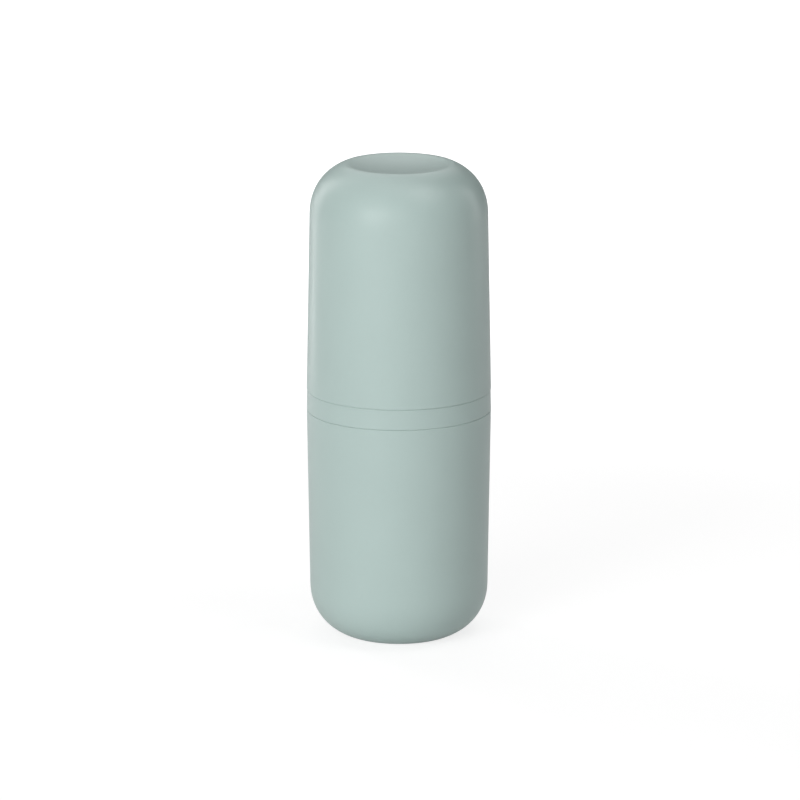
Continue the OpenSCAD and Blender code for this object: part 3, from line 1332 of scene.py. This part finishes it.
@dataclass
class HandleGrip:
    """The soft ring that lines the handle's opening."""

    deck: HolderDeck
    gap: float = 0.05 * MM
    flange_height: float = 1.4 * MM
    bead_height: float = 1.8 * MM
    lead: float = 0.7 * MM
    roll_steps: int = 10
    sides: int = 128

    def build(self, lathe: Lathe, finish: bpy.types.Material) -> bpy.types.Object:
        """Builds the grip.

        Args:
            lathe: What turns it.
            finish: Its silicone.

        Returns:
            The grip as one turned piece.
        """
        d = self.deck
        over, under = d.high + self.gap, d.low - self.gap
        top, bottom = over + self.flange_height, under - self.bead_height
        flange, bead, turn = d.waist_r + d.flange, d.waist_r + d.bead, self.flange_height / 2
        outside = [
            (d.bore_r + self.lead / 2, bottom),
            (d.waist_r, bottom),
            (bead, under - self.bead_height / 3),
            (bead, under),
            (d.waist_r, under),
            (d.waist_r, over),
            (flange - turn, over),
        ]
        inside = [
            (d.bore_r + self.lead, top),
            (d.bore_r, top - self.lead),
            (d.bore_r, bottom + self.lead / 2),
            (d.bore_r + self.lead / 2, bottom),
        ]
        roll = arc(flange - turn, top - turn, turn, -90, 90, self.roll_steps)
        outline = supported(outside + roll + inside)
        centre = (-d.offset, 0.0)
        piece = lathe.turned("handle_grip_ring", outline, finish, centre, self.sides)
        return settle(piece, "holder", "handle_grip")


# The studio

def stand_off(
    thing: bpy.types.Object, target: Vector, azimuth: float, elevation: float, distance: float
) -> None:
    """Puts a lamp or the camera at a distance from a point, facing it.

    Args:
        thing: The lamp's or the camera's object.
        target: The point that it faces.
        azimuth: Its side in degrees, with 0 at the camera's side and +90 to its right.
        elevation: Its height in degrees above the horizon.
        distance: How far from the target it is.
    """
    a, e = math.radians(azimuth), math.radians(elevation)
    away = Vector((math.sin(a) * math.cos(e), -math.cos(a) * math.cos(e), math.sin(e)))
    thing.location = target + away * distance
    thing.rotation_euler = away.to_track_quat("Z", "Y").to_euler()


@dataclass(frozen=True)
class SoftBox:
    """A rectangular lamp that faces the case, and that gloss shows if it is mirrored."""

    name: str
    azimuth: float
    elevation: float
    distance: float
    width: float
    height: float
    power: float
    mirrored: bool = True

    def place(self, target: Vector) -> None:
        """Adds the lamp to the scene.

        Args:
            target: The point that it faces.
        """
        data = bpy.data.lights.new(self.name, "AREA")
        data.shape = "RECTANGLE"
        data.size, data.size_y = self.width, self.height
        data.energy = self.power
        lamp = linked(self.name, data)
        lamp.visible_camera = False
        lamp.visible_glossy = self.mirrored
        stand_off(lamp, target, self.azimuth, self.elevation, self.distance)


@dataclass
class Studio:
    """The floor, the lamps, the world and the camera."""

    levels: Levels
    distance: float = 2.5
    elevation: float = 14.1
    lens: float = 269.0
    sensor: float = 36.0
    nearest: float = 0.1
    furthest: float = 50.0
    aside: float = 0.46 * MM
    down: float = 0.68 * MM
    floor_size: float = 6.0
    sky_light: float = 0.02
    sky_mirrored: float = 0.1
    lamps: tuple[SoftBox, ...] = (
        SoftBox("left_fill", -35, 14, 2.2, 0.90, 1.00, 13.0, mirrored=False),
        SoftBox("key_fill", -20, 14, 2.2, 0.90, 1.00, 6.0, mirrored=False),
        SoftBox("front_fill", -10, 20, 2.2, 1.60, 1.40, 13.6, mirrored=False),
        SoftBox("left_bank", -45, 20, 2.2, 1.20, 1.40, 1.0),
        SoftBox("high_left_bank", -40, 28, 2.2, 0.90, 2.00, 3.0),
        SoftBox("shoulder_glint", -38, 20, 1.1, 0.30, 0.30, 0.75),
        SoftBox("right_softbox", 60, 60, 1.2, 0.60, 0.60, 2.6),
        SoftBox("top_softbox", 0, 88, 1.2, 0.80, 0.80, 1.8),
        SoftBox("back_softbox", 180, 45, 1.4, 1.00, 1.00, 3.8),
        SoftBox("rim_strip", 118, 10, 1.0, 0.15, 1.00, 1.5),
        SoftBox("edge_strip", -135, 5, 0.5, 0.06, 0.60, 0.42),
        SoftBox("edge_fill", -130, 30, 0.8, 0.24, 0.80, 0.80),
    )

    def floor(self) -> None:
        """Adds the paper that the case stands on."""
        half = self.floor_size / 2
        corners = [(-half, -half, 0), (half, -half, 0), (half, half, 0), (-half, half, 0)]
        floor = meshed("studio_floor", corners, [], [(0, 1, 2, 3)])
        floor.data.materials.append(StudioPaper("white_paper").material())

    def world(self) -> None:
        """Makes the surroundings white to the camera, and dim as a light and in gloss."""
        world = bpy.data.worlds.new("studio_world")
        bpy.context.scene.world = world
        sh = Shader(world)
        camera, mirrored = sh.rays()
        light, white = (
            sh.node("ShaderNodeBackground", inputs={"Color": (1, 1, 1, 1), "Strength": strength})
            for strength in (self.sky_light, 1.0)
        )
        seen = camera + mirrored * self.sky_mirrored
        sh.surface(sh.node("ShaderNodeMixShader", inputs={0: seen, 1: light, 2: white}))

    def camera(self) -> None:
        """Adds the camera at the photograph's distance and angle."""
        data = bpy.data.cameras.new("packshot_camera")
        data.lens = self.lens
        data.sensor_fit = "HORIZONTAL"
        data.sensor_width = self.sensor
        data.clip_start, data.clip_end = self.nearest, self.furthest
        camera = linked("packshot_camera", data)
        target = Vector((self.aside, 0.0, self.levels.crown / 2 - self.down))
        stand_off(camera, target, 0.0, self.elevation, self.distance)
        bpy.context.scene.camera = camera

    def build(self) -> None:
        """Sets up the whole studio."""
        self.floor()
        self.world()
        self.camera()
        middle = Vector((0.0, 0.0, self.levels.crown / 2))
        for lamp in self.lamps:
            lamp.place(middle)
        bpy.context.scene.view_settings.view_transform = "Standard"
        LOG.info("studio: %d lamps, lens %.0f mm", len(self.lamps), self.lens)


def main() -> None:
    """Builds the case and the studio."""
    logging.basicConfig(level=logging.INFO, format="%(name)s: %(message)s")
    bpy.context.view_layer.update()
    levels = Levels.read()
    lathe, ring = Lathe(), RoundTheAxis()
    skins = {finish: finish.value.material() for finish in Finishes}

    collar = Collar(levels, ShellForm(levels.cup_seam, levels.seam_r, CUP_DRAFT).socket_r)
    deck = HolderDeck(collar)
    pieces = [
        Lid(levels).build(lathe, skins[Finishes.SHELL]),
        LowerCup(levels).build(lathe, ring, skins[Finishes.SHELL]),
        collar.build(lathe, skins[Finishes.SHELL]),
        LippedSeal("cup_seal").build(lathe, skins[Finishes.SEAL]),
        LippedSeal("lid_seal").build(lathe, skins[Finishes.SEAL]),
        deck.build(lathe, ring, skins[Finishes.DECK]),
        HandleGrip(deck).build(lathe, skins[Finishes.GRIP]),
    ]
    LOG.info("%d pieces, %d faces", len(pieces), sum(len(p.data.polygons) for p in pieces))
    Studio(levels).build()


if __name__ == "__main__":
    main()
